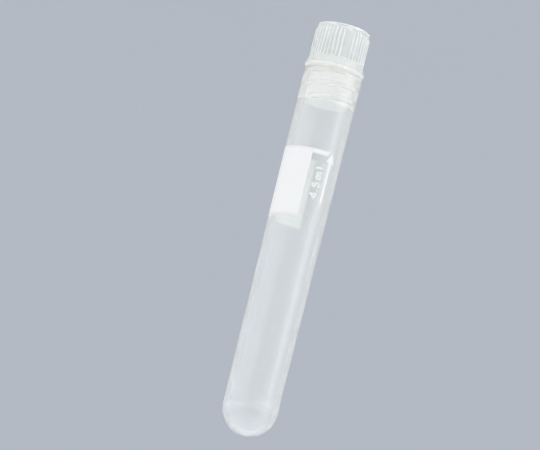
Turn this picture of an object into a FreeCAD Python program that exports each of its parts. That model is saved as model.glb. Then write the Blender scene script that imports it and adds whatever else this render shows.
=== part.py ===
import FreeCAD, Part
import math
import os

# Round-bottomed cryogenic vial: a moulded tube with an internal thread at its mouth, a screw cap whose
# threaded plug goes inside the mouth, and a silicone ring squeezed between the cap's flange and the rim.
#
# Everything is first modelled cap up, with the bottom tip of the tube at height 0 on the Z axis, and
# "height" below means the distance up that axis. Angles about it start at the front, the side that the
# fill line's arrow is on. The round bottom can't stand and a vial that lies down rolls, so
# stand_on_cap() then turns it over: the cap's flat top rests on Z = 0 and the front faces -Y.
# Sizes are in millimetres and angles in degrees.

# Overall sizes
OVERALL_LENGTH = 92.0          # bottom tip to cap top
RIM_DIAMETER = 12.8            # outside of the tube at its rim
CAP_ABOVE_RIM = 10.3           # rim to cap top, with the ring squeezed between them

# Tube
BARREL_TAPER = 0.4             # the barrel narrows by this much in radius from the rim to the round bottom
WALL_AT_FOOT = 1.2
WALL_AT_MOUTH = 1.4            # down to the bore between the turns of the thread
SEAM_STEP = 0.05               # the round bottom is this much smaller in radius than the barrel
RIM_EDGE_RADIUS = 0.2          # outer edge of the rim
MOUTH_CHAMFER_WIDTH = 0.6      # slope that leads the plug in
MOUTH_CHAMFER_DEPTH = 0.5
FILL_LINE_BELOW_RIM = 18.3     # level to which the vial holds its rated volume

# Thread, right-handed with one start
THREAD_LEAD = 3.0
RIDGE_ROOT_WIDTH = 1.5         # the cap's ridge along the axis, at the plug
RIDGE_CREST_WIDTH = 0.7
RIDGE_HEIGHT = 0.75
THREAD_RADIAL_CLEARANCE = 0.15
THREAD_AXIAL_CLEARANCE = 0.2
PLUG_CLEARANCE = 0.2           # radial, between the plug and the bore
RIDGE_START_ABOVE_PLUG_END = 0.9   # middle of the ridge where it starts, trimmed by the plug's lead-in
RIDGE_BELOW_RING = 0.3         # bare neck between the ridge's end and the ring
RIDGE_START_ANGLE = -12.0
GROOVE_RUN_ON_TURNS = 0.12     # the tube's groove goes on past the end of the seated ridge
SINK = 0.3                     # how far a ridge is let into its plug, or a cutter stands clear of its wall

# Sealing ring
RING_THICKNESS = 0.4           # as squeezed
RING_SETBACK = 0.25            # radial, in from the rim's outside
RING_CLEARANCE = 0.1           # radial, round the plug

# Cap
PLUG_DEPTH = 7.2               # below the rim
PLUG_END_ROOM = 1.0            # straight bore that goes on below the plug
PLUG_END_CHAMFER = 0.4
PLUG_WALL = 1.3                # round the plug's hollow
HOLLOW_DRAFT = 0.2             # the hollow narrows by this much in radius towards its closed end
CAP_TOP_WALL = 1.6
FLANGE_OVERHANG = 0.15         # radial, past the rim's outside
FLANGE_FACE_SETBACK = 0.2      # radial, from the widest line in to the flange's lower face
FLANGE_EDGE_HEIGHT = 0.55      # from the flange's lower face to its widest line
FLANGE_LAND = 0.15             # height of the widest line's narrow band
FLARE_HEIGHT = 1.35            # slope from the flange in to the grip
GRIP_SETBACK = 0.5             # radial, from the flange's widest line in to the grip
SMOOTH_BAND_HEIGHT = 0.1       # plain band between the flare and the ribs
RIB_HEIGHT = 0.22
RIB_WIDTH = 0.5
RIB_PITCH = 8.43
RIBS_PER_GROUP = 9
RIB_GROUPS = 4                 # with a smooth panel between each two
FIRST_PANEL_ANGLE = 13.1       # middle of one smooth panel
SHOULDER_HEIGHT = 0.65         # slope between the ribs and the top disc
TOP_DISC_SETBACK = 0.35        # radial, from the grip in to the top disc
TOP_DISC_HEIGHT = 0.8
TOP_EDGE_RADIUS = 0.15

# Radii that follow from the sizes above
RIM_RADIUS = RIM_DIAMETER / 2
FOOT_RADIUS = RIM_RADIUS - BARREL_TAPER
BALL_RADIUS = FOOT_RADIUS - SEAM_STEP
BORE_AT_FOOT_RADIUS = FOOT_RADIUS - WALL_AT_FOOT
BORE_RADIUS = RIM_RADIUS - WALL_AT_MOUTH
PLUG_RADIUS = BORE_RADIUS - PLUG_CLEARANCE
RIDGE_RADIUS = PLUG_RADIUS + RIDGE_HEIGHT
GROOVE_RADIUS = RIDGE_RADIUS + THREAD_RADIAL_CLEARANCE
FLANGE_RADIUS = RIM_RADIUS + FLANGE_OVERHANG
GRIP_RADIUS = FLANGE_RADIUS - GRIP_SETBACK
VALLEY_RADIUS = GRIP_RADIUS - RIB_HEIGHT
TOP_DISC_RADIUS = GRIP_RADIUS - TOP_DISC_SETBACK

# Heights that follow from the sizes above
RIM_HEIGHT = OVERALL_LENGTH - CAP_ABOVE_RIM
FLANGE_HEIGHT = RIM_HEIGHT + RING_THICKNESS
PLUG_END_HEIGHT = RIM_HEIGHT - PLUG_DEPTH
RIDGE_START_HEIGHT = PLUG_END_HEIGHT + RIDGE_START_ABOVE_PLUG_END
RIDGE_END_HEIGHT = RIM_HEIGHT - RIDGE_BELOW_RING - RIDGE_ROOT_WIDTH / 2
FLARE_TOP_HEIGHT = FLANGE_HEIGHT + FLANGE_EDGE_HEIGHT + FLANGE_LAND + FLARE_HEIGHT
RIBS_BOTTOM_HEIGHT = FLARE_TOP_HEIGHT + SMOOTH_BAND_HEIGHT
TOP_DISC_BASE_HEIGHT = OVERALL_LENGTH - TOP_DISC_HEIGHT
SHOULDER_BASE_HEIGHT = TOP_DISC_BASE_HEIGHT - SHOULDER_HEIGHT

UP = FreeCAD.Vector(0, 0, 1)
ORIGIN = FreeCAD.Vector(0, 0, 0)
HALF_DIAGONAL = math.sqrt(0.5)
CUBIC_MM_PER_ML = 1000


def at(radius, height):
    """A point of a half section, in the XZ plane."""
    return FreeCAD.Vector(radius, 0, height)


def straight(start, end):
    return Part.LineSegment(start, end).toShape()


def arc(start, middle, end):
    return Part.Arc(start, middle, end).toShape()


def polyline(points):
    """Straight edges through the points in turn."""
    return [straight(a, b) for a, b in zip(points, points[1:])]


def polygon(points):
    """Straight edges through the points and back to the first."""
    return polyline(points + points[:1])


def revolved(edges):
    """The solid of revolution of a closed half section about the Z axis."""
    return Part.Face(Part.Wire(edges)).revolve(ORIGIN, UP, 360)


def ball_end(centre_height, radius):
    """The half section of a ball end, from its lowest point on the axis out to its full radius."""
    slant = radius * HALF_DIAGONAL
    return arc(
        at(0, centre_height - radius),
        at(slant, centre_height - slant),
        at(radius, centre_height),
    )


def ridge_half_width(radius):
    """Half the width of the cap's ridge at a radius, along its straight flanks."""
    share = (radius - PLUG_RADIUS) / RIDGE_HEIGHT
    return (RIDGE_ROOT_WIDTH + (RIDGE_CREST_WIDTH - RIDGE_ROOT_WIDTH) * share) / 2


def thread_sweep(base_radius, tip_radius, side_clearance, start_height, end_height):
    """The ridge's section between two radii, widened by a clearance and swept up the vial's one helix.

    The heights are those of its middle line. Its flanks go on inwards past base_radius by SINK.
    """
    inner_radius = base_radius - SINK
    inner_half = ridge_half_width(inner_radius) + side_clearance
    tip_half = ridge_half_width(tip_radius) + side_clearance
    section = Part.Wire(
        polygon(
            [
                at(inner_radius, -inner_half),
                at(tip_radius, -tip_half),
                at(tip_radius, tip_half),
                at(inner_radius, inner_half),
            ]
        )
    )
    helix = Part.makeLongHelix(THREAD_LEAD, end_height - start_height, tip_radius, 0)
    swept = Part.Wire(helix.Edges).makePipeShell([section], True, True)
    turns_past_ridge_start = (start_height - RIDGE_START_HEIGHT) / THREAD_LEAD
    swept.rotate(ORIGIN, UP, RIDGE_START_ANGLE + 360 * turns_past_ridge_start)
    swept.translate(FreeCAD.Vector(0, 0, start_height))
    return swept


def tube_outside():
    """Tapered barrel with a ball end, a fine seam step between them and a rounded rim."""
    edge = RIM_EDGE_RADIUS
    edge_height = RIM_HEIGHT - edge
    side = [at(BALL_RADIUS, BALL_RADIUS), at(FOOT_RADIUS, BALL_RADIUS), at(RIM_RADIUS, edge_height)]
    rim_edge = arc(
        at(RIM_RADIUS, edge_height),
        at(RIM_RADIUS - edge * (1 - HALF_DIAGONAL), edge_height + edge * HALF_DIAGONAL),
        at(RIM_RADIUS - edge, RIM_HEIGHT),
    )
    top = [at(RIM_RADIUS - edge, RIM_HEIGHT), at(0, RIM_HEIGHT), at(0, 0)]
    return revolved([ball_end(BALL_RADIUS, BALL_RADIUS)] + polyline(side) + [rim_edge] + polyline(top))


def bore():
    """The space inside the tube, going on past the rim."""
    mouth_radius = BORE_RADIUS + MOUTH_CHAMFER_WIDTH
    wall = [
        at(BORE_AT_FOOT_RADIUS, BALL_RADIUS),
        at(BORE_RADIUS, PLUG_END_HEIGHT - PLUG_END_ROOM),
        at(BORE_RADIUS, RIM_HEIGHT - MOUTH_CHAMFER_DEPTH),
        at(mouth_radius, RIM_HEIGHT),
        at(mouth_radius, RIM_HEIGHT + SINK),
        at(0, RIM_HEIGHT + SINK),
        at(0, BALL_RADIUS - BORE_AT_FOOT_RADIUS),
    ]
    return revolved([ball_end(BALL_RADIUS, BORE_AT_FOOT_RADIUS)] + polyline(wall))


def vial_tube():
    """The tube: one moulding, with the cap's thread as a groove in its mouth."""
    groove = thread_sweep(
        BORE_RADIUS,
        GROOVE_RADIUS,
        THREAD_AXIAL_CLEARANCE,
        RIDGE_START_HEIGHT - GROOVE_RUN_ON_TURNS * THREAD_LEAD,
        RIM_HEIGHT + THREAD_LEAD / 2,
    )
    return tube_outside().cut(bore()).cut(groove)


def sealing_ring():
    """A flat ring on the rim, with the plug through it."""
    inner_radius = PLUG_RADIUS + RING_CLEARANCE
    outer_radius = RIM_RADIUS - RING_SETBACK
    return revolved(
        polygon(
            [
                at(inner_radius, RIM_HEIGHT),
                at(outer_radius, RIM_HEIGHT),
                at(outer_radius, FLANGE_HEIGHT),
                at(inner_radius, FLANGE_HEIGHT),
            ]
        )
    )


def rib_angles():
    """Angles of all ribs about the axis: equal groups, each centred between two smooth panels."""
    group_step = 360 / RIB_GROUPS
    return [
        FIRST_PANEL_ANGLE + (group + 0.5) * group_step + (rib - (RIBS_PER_GROUP - 1) / 2) * RIB_PITCH
        for group in range(RIB_GROUPS)
        for rib in range(RIBS_PER_GROUP)
    ]


def polar(radius, angle, height):
    turn = math.radians(angle)
    return FreeCAD.Vector(radius * math.cos(turn), radius * math.sin(turn), height)


def ribbed_prism():
    """The grip between its smooth band and its top disc, with full ribs all the way up."""
    foot = math.degrees(RIB_WIDTH / 2 / VALLEY_RADIUS)
    angles = rib_angles()
    height = RIBS_BOTTOM_HEIGHT
    edges = []
    for angle, following in zip(angles, angles[1:] + [angles[0] + 360]):
        left = polar(VALLEY_RADIUS, angle - foot, height)
        right = polar(VALLEY_RADIUS, angle + foot, height)
        next_left = polar(VALLEY_RADIUS, following - foot, height)
        valley_middle = polar(VALLEY_RADIUS, (angle + following) / 2, height)
        edges.append(arc(left, polar(GRIP_RADIUS, angle, height), right))
        edges.append(arc(right, valley_middle, next_left))
    return Part.Face(Part.Wire(edges)).extrude(UP * (TOP_DISC_BASE_HEIGHT - height))


def shoulder_envelope():
    """Everything under the slope that takes the ribs in to the top disc."""
    return revolved(
        polygon(
            [
                at(0, RIBS_BOTTOM_HEIGHT),
                at(GRIP_RADIUS + SINK, RIBS_BOTTOM_HEIGHT),
                at(GRIP_RADIUS + SINK, SHOULDER_BASE_HEIGHT),
                at(GRIP_RADIUS, SHOULDER_BASE_HEIGHT),
                at(TOP_DISC_RADIUS, TOP_DISC_BASE_HEIGHT),
                at(0, TOP_DISC_BASE_HEIGHT),
            ]
        )
    )


def cap_core():
    """Plug, flange, smooth band and top disc, joined by a core hidden inside the ribs."""
    core_radius = TOP_DISC_RADIUS - SINK
    widest_height = FLANGE_HEIGHT + FLANGE_EDGE_HEIGHT
    edge = TOP_EDGE_RADIUS
    edge_height = OVERALL_LENGTH - edge
    flat_radius = TOP_DISC_RADIUS - edge
    side = [
        at(0, PLUG_END_HEIGHT),
        at(PLUG_RADIUS - PLUG_END_CHAMFER, PLUG_END_HEIGHT),
        at(PLUG_RADIUS, PLUG_END_HEIGHT + PLUG_END_CHAMFER),
        at(PLUG_RADIUS, FLANGE_HEIGHT),
        at(FLANGE_RADIUS - FLANGE_FACE_SETBACK, FLANGE_HEIGHT),
        at(FLANGE_RADIUS, widest_height),
        at(FLANGE_RADIUS, widest_height + FLANGE_LAND),
        at(GRIP_RADIUS, FLARE_TOP_HEIGHT),
        at(GRIP_RADIUS, RIBS_BOTTOM_HEIGHT),
        at(core_radius, RIBS_BOTTOM_HEIGHT),
        at(core_radius, TOP_DISC_BASE_HEIGHT),
        at(TOP_DISC_RADIUS, TOP_DISC_BASE_HEIGHT),
        at(TOP_DISC_RADIUS, edge_height),
    ]
    top_edge = arc(
        at(TOP_DISC_RADIUS, edge_height),
        at(flat_radius + edge * HALF_DIAGONAL, edge_height + edge * HALF_DIAGONAL),
        at(flat_radius, OVERALL_LENGTH),
    )
    top = [at(flat_radius, OVERALL_LENGTH), at(0, OVERALL_LENGTH), at(0, PLUG_END_HEIGHT)]
    return revolved(polyline(side) + [top_edge] + polyline(top))


def cap_hollow():
    """The space inside the plug and the grip, open at the plug's end."""
    mouth_radius = PLUG_RADIUS - PLUG_WALL
    end_radius = mouth_radius - HOLLOW_DRAFT
    end_height = OVERALL_LENGTH - CAP_TOP_WALL
    return revolved(
        polygon(
            [
                at(0, PLUG_END_HEIGHT - SINK),
                at(mouth_radius, PLUG_END_HEIGHT - SINK),
                at(end_radius, end_height),
                at(0, end_height),
            ]
        )
    )


def plug_envelope():
    """Everything inside the plug's lead-in, the 45 degree cone that its end chamfer lies on."""
    radius = RIDGE_RADIUS + SINK
    lead_in = radius - PLUG_RADIUS + PLUG_END_CHAMFER
    return revolved(
        polygon(
            [
                at(0, PLUG_END_HEIGHT),
                at(PLUG_RADIUS - PLUG_END_CHAMFER, PLUG_END_HEIGHT),
                at(radius, PLUG_END_HEIGHT + lead_in),
                at(radius, RIM_HEIGHT),
                at(0, RIM_HEIGHT),
            ]
        )
    )


def thread_ridge():
    """The cap's thread, which starts small where the lead-in trims it."""
    swept = thread_sweep(PLUG_RADIUS, RIDGE_RADIUS, 0, RIDGE_START_HEIGHT, RIDGE_END_HEIGHT)
    return swept.common(plug_envelope())


def screw_cap():
    """The cap: one moulding of plug, thread ridge, flange, ribbed grip and top disc."""
    ribs = ribbed_prism().common(shoulder_envelope())
    return cap_core().fuse(ribs).fuse(thread_ridge()).cut(cap_hollow())


def stand_on_cap(shape):
    """Turn the vial over on to its flat top. The front, at angle 0, then faces -Y, and 90 faces -X."""
    shape.rotate(ORIGIN, FreeCAD.Vector(1, 0, 0), 180)
    shape.rotate(ORIGIN, UP, -90)
    shape.translate(UP * OVERALL_LENGTH)
    return shape


def rated_volume():
    """Volume inside the tube up to the fill line, in millilitres."""
    corner = FreeCAD.Vector(-RIM_RADIUS, -RIM_RADIUS, 0)
    below = Part.makeBox(RIM_DIAMETER, RIM_DIAMETER, RIM_HEIGHT - FILL_LINE_BELOW_RIM, corner)
    return bore().common(below).Volume / CUBIC_MM_PER_ML


PIECES = {"vial_tube": vial_tube, "sealing_ring": sealing_ring, "screw_cap": screw_cap}

os.makedirs("parts", exist_ok=True)
for name, build in PIECES.items():
    piece = stand_on_cap(build())
    print(name, "valid", piece.isValid(), "solids", len(piece.Solids), "mm3", round(piece.Volume, 2))
    piece.exportStep(f"parts/{name}.step")
print("volume up to the fill line, ml:", round(rated_volume(), 3))
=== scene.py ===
"""A round-bottomed cryogenic sample vial of natural polypropylene, standing on its screw cap.

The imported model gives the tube, the sealing ring and the screw cap. This script rebuilds each of them as one
fine mesh with its small radii, thread, ribs and moulding marks, prints the writing panel, the fill line, its
arrow and the rated volume on the tube, gives every piece its material, and sets up the table, the light tent
and the camera.

Sizes are in millimetres until a mesh is made, which is in metres. "Height" is the distance along the axis
from the tip of the round bottom to the cap's flat top, which is the way a vial is usually held. "Angle" is
measured round the axis in degrees from the front, the side with the fill line's arrow. A field that a class
doesn't list among its attributes is what its name says.
"""

import logging
import math
from dataclasses import dataclass, field
from enum import Enum
from functools import reduce

import bpy
import numpy as np
from mathutils import Matrix, Vector

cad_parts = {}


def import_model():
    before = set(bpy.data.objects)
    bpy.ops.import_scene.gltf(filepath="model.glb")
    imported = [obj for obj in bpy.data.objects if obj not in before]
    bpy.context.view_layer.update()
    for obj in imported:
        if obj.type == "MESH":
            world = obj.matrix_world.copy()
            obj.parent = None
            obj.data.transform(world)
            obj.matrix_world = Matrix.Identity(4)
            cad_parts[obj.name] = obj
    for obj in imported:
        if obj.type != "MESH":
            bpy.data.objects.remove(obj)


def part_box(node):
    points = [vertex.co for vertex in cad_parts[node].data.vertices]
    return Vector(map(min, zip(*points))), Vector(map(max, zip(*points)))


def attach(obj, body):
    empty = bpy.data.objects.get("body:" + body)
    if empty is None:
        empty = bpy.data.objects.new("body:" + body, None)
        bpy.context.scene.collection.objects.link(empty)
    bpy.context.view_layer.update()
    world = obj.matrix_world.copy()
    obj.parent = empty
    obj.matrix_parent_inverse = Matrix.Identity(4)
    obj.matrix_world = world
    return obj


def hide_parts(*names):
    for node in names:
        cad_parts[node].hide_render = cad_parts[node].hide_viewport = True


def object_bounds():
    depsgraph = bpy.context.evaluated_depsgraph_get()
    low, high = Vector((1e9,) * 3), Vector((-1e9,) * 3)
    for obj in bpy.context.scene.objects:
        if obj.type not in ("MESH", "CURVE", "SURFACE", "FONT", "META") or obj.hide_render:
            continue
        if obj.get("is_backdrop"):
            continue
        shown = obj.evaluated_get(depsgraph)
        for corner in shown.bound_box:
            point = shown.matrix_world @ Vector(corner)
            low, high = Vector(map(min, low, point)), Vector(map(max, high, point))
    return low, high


log = logging.getLogger("cryovial")

Array = np.ndarray
MM = 0.001
HAIR = 1e-6  # what rounding may put between equal lengths, in millimetres


# ---------------------------------------------------------------- shapes


@dataclass(frozen=True)
class Vial:
    """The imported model's main sizes, in millimetres, and the way from the vial's coordinates to its frame."""

    length: float
    rim_height: float
    flange_height: float
    plug_end_height: float
    rim_radius: float
    flange_radius: float

    @classmethod
    def from_frame(cls) -> "Vial":
        """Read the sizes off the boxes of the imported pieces.

        Returns:
            The vial, with its heights counted from the tip of the round bottom.
        """
        tube_low, tube_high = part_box("vial_tube")
        ring_low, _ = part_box("sealing_ring")
        cap_low, cap_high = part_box("screw_cap")
        length = tube_high.z / MM
        return cls(
            length=length,
            rim_height=length - tube_low.z / MM,
            flange_height=length - ring_low.z / MM,
            plug_end_height=length - cap_high.z / MM,
            rim_radius=max(tube_high.x, tube_high.y) / MM,
            flange_radius=max(cap_high.x, cap_high.y, -cap_low.x, -cap_low.y) / MM,
        )

    def points(self, radius: Array, height: Array, angle: Array) -> Array:
        """Turn radius, height and angle into points of the frame.

        The vial stands on its cap, so z is the length less the height. The front faces -Y and an angle of
        90 faces -X: x = -radius * sin(angle) and y = -radius * cos(angle).

        Args:
            radius: Distance from the axis, in millimetres.
            height: Height above the tip of the bottom, in millimetres.
            angle: Angle from the front, in degrees.

        Returns:
            The points, in metres, with x, y and z along the last axis.
        """
        radius, height, angle = np.broadcast_arrays(radius, height, np.radians(angle))
        x = -radius * np.sin(angle)
        y = -radius * np.cos(angle)
        return np.stack([x, y, self.length - height], axis=-1) * MM


@dataclass(frozen=True)
class Corner:
    """A corner of a half section.

    Attributes:
        radius: Distance from the axis.
        height: Height above the tip of the bottom.
        blend: Radius that rounds the corner off.
        step: Longest distance between rows on the run that leads on from this corner.
    """

    radius: float
    height: float
    blend: float = 0.0
    step: float = 1.5


BLEND_POINTS = 5
BLEND_STEP = 0.1


def rounded(corner: Corner, before: Corner, after: Corner) -> Array:
    """Round one corner of a half section with an arc.

    The arc touches both runs at blend / tan(half the angle between them) from the corner, and its centre lies
    on the line that halves that angle, blend / sin(half the angle) from the corner.

    Args:
        corner: The corner to round.
        before: The corner that the section comes from.
        after: The corner that the section goes on to.

    Returns:
        The points of the arc, or the corner itself where it has no blend.
    """
    here = np.array([corner.radius, corner.height])
    if corner.blend <= 0:
        return here[None]
    back = np.array([before.radius, before.height]) - here
    ahead = np.array([after.radius, after.height]) - here
    shortest = min(np.linalg.norm(back), np.linalg.norm(ahead))
    back /= np.linalg.norm(back)
    ahead /= np.linalg.norm(ahead)
    half = math.acos(np.clip(back @ ahead, -1, 1)) / 2
    blend = min(corner.blend, 0.49 * shortest * math.tan(half))
    centre = here + (back + ahead) / np.linalg.norm(back + ahead) * blend / math.sin(half)
    start = here + back * blend / math.tan(half) - centre
    end = here + ahead * blend / math.tan(half) - centre
    sweep = math.pi - 2 * half
    share = np.linspace(0, 1, max(BLEND_POINTS, math.ceil(blend * sweep / BLEND_STEP)))[:, None]
    return centre + (np.sin((1 - share) * sweep) * start + np.sin(share * sweep) * end) / math.sin(sweep)


def half_section(corners: list[Corner]) -> Array:
    """Lay rows along a half section, with arcs at its corners and rows no further apart than each run allows.

    Args:
        corners: The section's corners in turn. The first and the last stay sharp.

    Returns:
        One row per point of the section: radius and height.
    """
    parts = [np.array([[corners[0].radius, corners[0].height]])]
    for before, corner, after in zip(corners, corners[1:], [*corners[2:], None]):
        last = np.array([[corner.radius, corner.height]])
        arc = last if after is None else rounded(corner, before, after)
        start = parts[-1][-1]
        count = max(1, math.ceil(np.linalg.norm(arc[0] - start) / before.step))
        parts.append(start + (arc[0] - start) * (np.arange(1, count) / count)[:, None])
        parts.append(arc)
    return np.concatenate(parts)


def ball(radius: float, centre_height: float, rows: int) -> Array:
    """The half section of a ball end, tip first: radius * sin(turn) and centre - radius * cos(turn)."""
    turn = np.linspace(0, math.pi / 2, rows)
    return np.column_stack([radius * np.sin(turn), centre_height - radius * np.cos(turn)])


def spread(section: Array, angle: Array) -> tuple[Array, Array, Array, Array]:
    """Lay a half section round the axis: radius, height, angle by row and column, and each row's number."""
    radius, height = (np.repeat(part[:, None], len(angle), axis=1) for part in section.T)
    return radius, height, np.broadcast_to(angle, radius.shape), np.arange(len(section))[:, None]


def bell(value: Array) -> Array:
    """1 at 0, and exp(-v^2) away from it."""
    return np.exp(-(value**2))


def smooth_step(value: Array) -> Array:
    """0 below 0, 1 above 1, and 3v^2 - 2v^3 between them."""
    value = np.clip(value, 0, 1)
    return value * value * (3 - 2 * value)


def mesh_object(name: str, points: Array, faces: list[Array]) -> bpy.types.Object:
    """Make a smooth-shaded object from points and faces, with its faces turned outwards.

    Six times the volume that the faces enclose is the sum of a . (b x c) over their triangles. Where that is
    negative they face inwards, and all of them are turned round.

    Args:
        name: Name of the object and its mesh.
        points: Points in metres, one per row.
        faces: Arrays of point numbers, one row per face, each array with faces of one kind.

    Returns:
        The object, linked to the scene.
    """
    volume = 0.0
    for group in faces:
        for second in range(1, group.shape[1] - 1):
            a, b, c = (points[group[:, k]] for k in (0, second, second + 1))
            volume += float(np.einsum("ij,ij->i", a, np.cross(b, c)).sum())
    if volume < 0:
        faces = [group[:, ::-1] for group in faces]
    mesh = bpy.data.meshes.new(name)
    mesh.from_pydata(points.tolist(), [], [face for group in faces for face in group.tolist()])
    mesh.polygons.foreach_set("use_smooth", np.ones(len(mesh.polygons), dtype=bool))
    mesh.update()
    obj = bpy.data.objects.new(name, mesh)
    bpy.context.scene.collection.objects.link(obj)
    return obj


class Mark(Enum):
    """What a piece's points can say about its skin, each from 0 to 1, for a material to read."""

    # Worn: whiter and less see-through; on the cap's rib crests and top edge it is also a painted highlight.
    WORN_AND_HIGHLIGHT = "worn"
    # Thin: a faint tint on the tube's thin wall, and painted shade on the cap's grip.
    THIN_TINT_AND_SHADE = "thin"
    MATT = "matt"
    UNDER = "under"


Marks = dict[Mark, Array]


def grid_quads(number: Array) -> Array:
    """The quads between neighbouring rows and columns of a grid of point numbers, one per row."""
    corners = [number[:-1, :-1], number[:-1, 1:], number[1:, 1:], number[1:, :-1]]
    return np.stack(corners, axis=-1).reshape(-1, 4)


def set_marks(obj: bpy.types.Object, marks: Marks) -> None:
    """Store marks on an object's points."""
    for mark, values in marks.items():
        obj.data.attributes.new(mark.value, "FLOAT", "POINT").data.foreach_set("value", values)


def lathe(name: str, grid: Array, marks: Marks) -> bpy.types.Object:
    """Close a grid of points round the axis, with a pole at its first and at its last row.

    Every row but those two is a ring of points, and rows that follow each other are joined by quads. The
    first and the last row lie on the axis, and each becomes one point with a fan of triangles.

    Args:
        name: Name of the object.
        grid: Points by row and column, in metres.
        marks: Marks of each of them, by row and column.

    Returns:
        The closed object.
    """
    rings, columns = grid[1:-1], grid.shape[1]
    count = len(rings) * columns
    points = np.concatenate([rings.reshape(-1, 3), grid[:1].mean(1), grid[-1:].mean(1)])
    number = np.pad(np.arange(count).reshape(len(rings), columns), ((0, 0), (0, 1)), mode="wrap")
    first = np.stack([np.full(columns, count), number[0, 1:], number[0, :-1]], axis=-1)
    last = np.stack([np.full(columns, count + 1), number[-1, :-1], number[-1, 1:]], axis=-1)
    obj = mesh_object(name, points, [grid_quads(number), first, last])
    for mark, at in marks.items():
        at = np.broadcast_to(at, grid.shape[:2]).astype(float)
        set_marks(obj, {mark: np.concatenate([at[1:-1].reshape(-1), at[:1].mean(1), at[-1:].mean(1)])})
    return obj


def closed_ring(name: str, grid: Array) -> bpy.types.Object:
    """Close a grid of points, by row and column, both ways: round the axis and round its section."""
    number = np.arange(grid[..., 0].size).reshape(grid.shape[:2])
    return mesh_object(name, grid.reshape(-1, 3), [grid_quads(np.pad(number, (0, 1), mode="wrap"))])


@dataclass(frozen=True)
class Thread:
    """The right-handed, single-start thread that the plug and the tube share.

    The middle line of its ridge climbs one lead a turn from start_height at start_angle. The ridge's flanks
    are straight, so its half width falls evenly from the root to the crest.

    Attributes:
        lead: Climb in one turn.
        start_height: Height of the middle line where the ridge starts.
        start_angle: Angle at which it starts.
        root_width: Width of the ridge at the plug, from which its flanks lean in to its crest.
        ridge: Height of the crest over the plug.
        run_out: Turns over which it rises from the plug at each end.
    """

    lead: float = 3.0
    start_height: float = 75.4
    start_angle: float = -12.0
    turns: float = 1.75
    root_radius: float = 4.8
    root_width: float = 1.5
    crest_width: float = 0.7
    ridge: float = 0.75
    run_out: float = 0.12

    def half_width(self, radius: float) -> float:
        """Half the ridge's width at a radius, along its straight flanks."""
        share = (radius - self.root_radius) / self.ridge
        return (self.root_width + (self.crest_width - self.root_width) * share) / 2

    def nearest_turn(self, height: Array, angle: Array, first: float, last: float) -> tuple[Array, Array]:
        """Find the turn of the middle line that lies nearest to each point.

        Args:
            height: Heights of the points.
            angle: Their angles.
            first: Where the thread starts, in turns from start_angle.
            last: Where it ends, in turns.

        Returns:
            How far each point lies above that turn, and how many turns from the start it is.
        """
        part = ((angle - self.start_angle) / 360) % 1
        whole = np.round((height - self.start_height) / self.lead - part)
        whole = np.clip(whole, np.ceil(first - part), np.floor(last - part))
        turn = whole + part
        return height - self.start_height - self.lead * turn, turn

    def profile(
        self,
        height: Array,
        angle: Array,
        base: float,
        tip: float,
        gap: float,
        ends: tuple[float, float],
    ) -> Array:
        """The thread's radius at each point, between a base and a tip, and running out at both ends.

        Args:
            height: Heights of the points.
            angle: Their angles.
            base: Radius where there is no thread.
            tip: Radius along the middle line.
            gap: How much the section is widened on each side.
            ends: Where the thread starts and ends, in turns from start_angle.

        Returns:
            The radius at each point.
        """
        away, turn = self.nearest_turn(height, angle, *ends)
        wide = self.half_width(base) + gap
        narrow = self.half_width(tip) + gap
        run_out = smooth_step((turn - ends[0]) / self.run_out) * smooth_step((ends[1] - turn) / self.run_out)
        return base + (tip - base) * run_out * smooth_flank((wide - np.abs(away)) / (wide - narrow))


def smooth_flank(value: Array, ease: float = 0.3) -> Array:
    """A straight flank from 0 to 1 whose foot and crest are eased by parabolas.

    Args:
        value: Way up the flank, from 0 at its foot to 1 at its crest.
        ease: Share of the way that each parabola takes up.

    Returns:
        The height, s v^2 / 2e in the foot, s (v - e / 2) between, with s = 1 / (1 - e), and the crest is
        the foot turned round.
    """
    way = np.clip(value, 0, 1)
    slope = 1 / (1 - ease)
    foot = slope * way**2 / (2 * ease)
    crest = 1 - slope * (1 - way) ** 2 / (2 * ease)
    return np.where(way < ease, foot, np.where(way > 1 - ease, crest, slope * (way - ease / 2)))


# ---------------------------------------------------------------- materials


Tree = bpy.types.NodeTree
Socket = bpy.types.NodeSocket


def srgb(code: str) -> tuple[float, float, float, float]:
    """Turn an sRGB hex colour into the linear colour that shader sockets take.

    Args:
        code: Six hex digits, with or without a leading #.

    Returns:
        Red, green, blue and an alpha of 1.
    """
    code = code.lstrip("#")
    values = [int(code[k : k + 2], 16) / 255 for k in (0, 2, 4)]
    linear = [v / 12.92 if v <= 0.04045 else ((v + 0.055) / 1.055) ** 2.4 for v in values]
    return (*linear, 1.0)


def add_node(
    tree: Tree,
    kind: str,
    inputs: dict[str | int, object] | None = None,
    gives: str | int = 0,
    **settings: object,
) -> Socket | None:
    """Add a node with its settings, its values and its links.

    Args:
        tree: The node tree.
        kind: The node's type name.
        inputs: What its inputs take, by name or number: a value, or a socket to link.
        gives: Name or number of the output that is wanted.
        **settings: Properties of the node itself.

    Returns:
        That output, or None if the node has none.
    """
    node = tree.nodes.new(kind)
    for name, setting in settings.items():
        setattr(node, name, setting)
    for name, value in (inputs or {}).items():
        if isinstance(value, Socket):
            tree.links.new(value, node.inputs[name])
        else:
            node.inputs[name].default_value = value
    return node.outputs[gives] if node.outputs else None


class Flow(Enum):
    """Which way a pattern is drawn out, as how much longer it is along x, y and z."""

    EVEN = (1.0, 1.0, 1.0)
    ALONG_THE_TUBE = (1.0, 1.0, 12.0)
    SHORT_RUN = (1.0, 1.0, 2.5)


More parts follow.
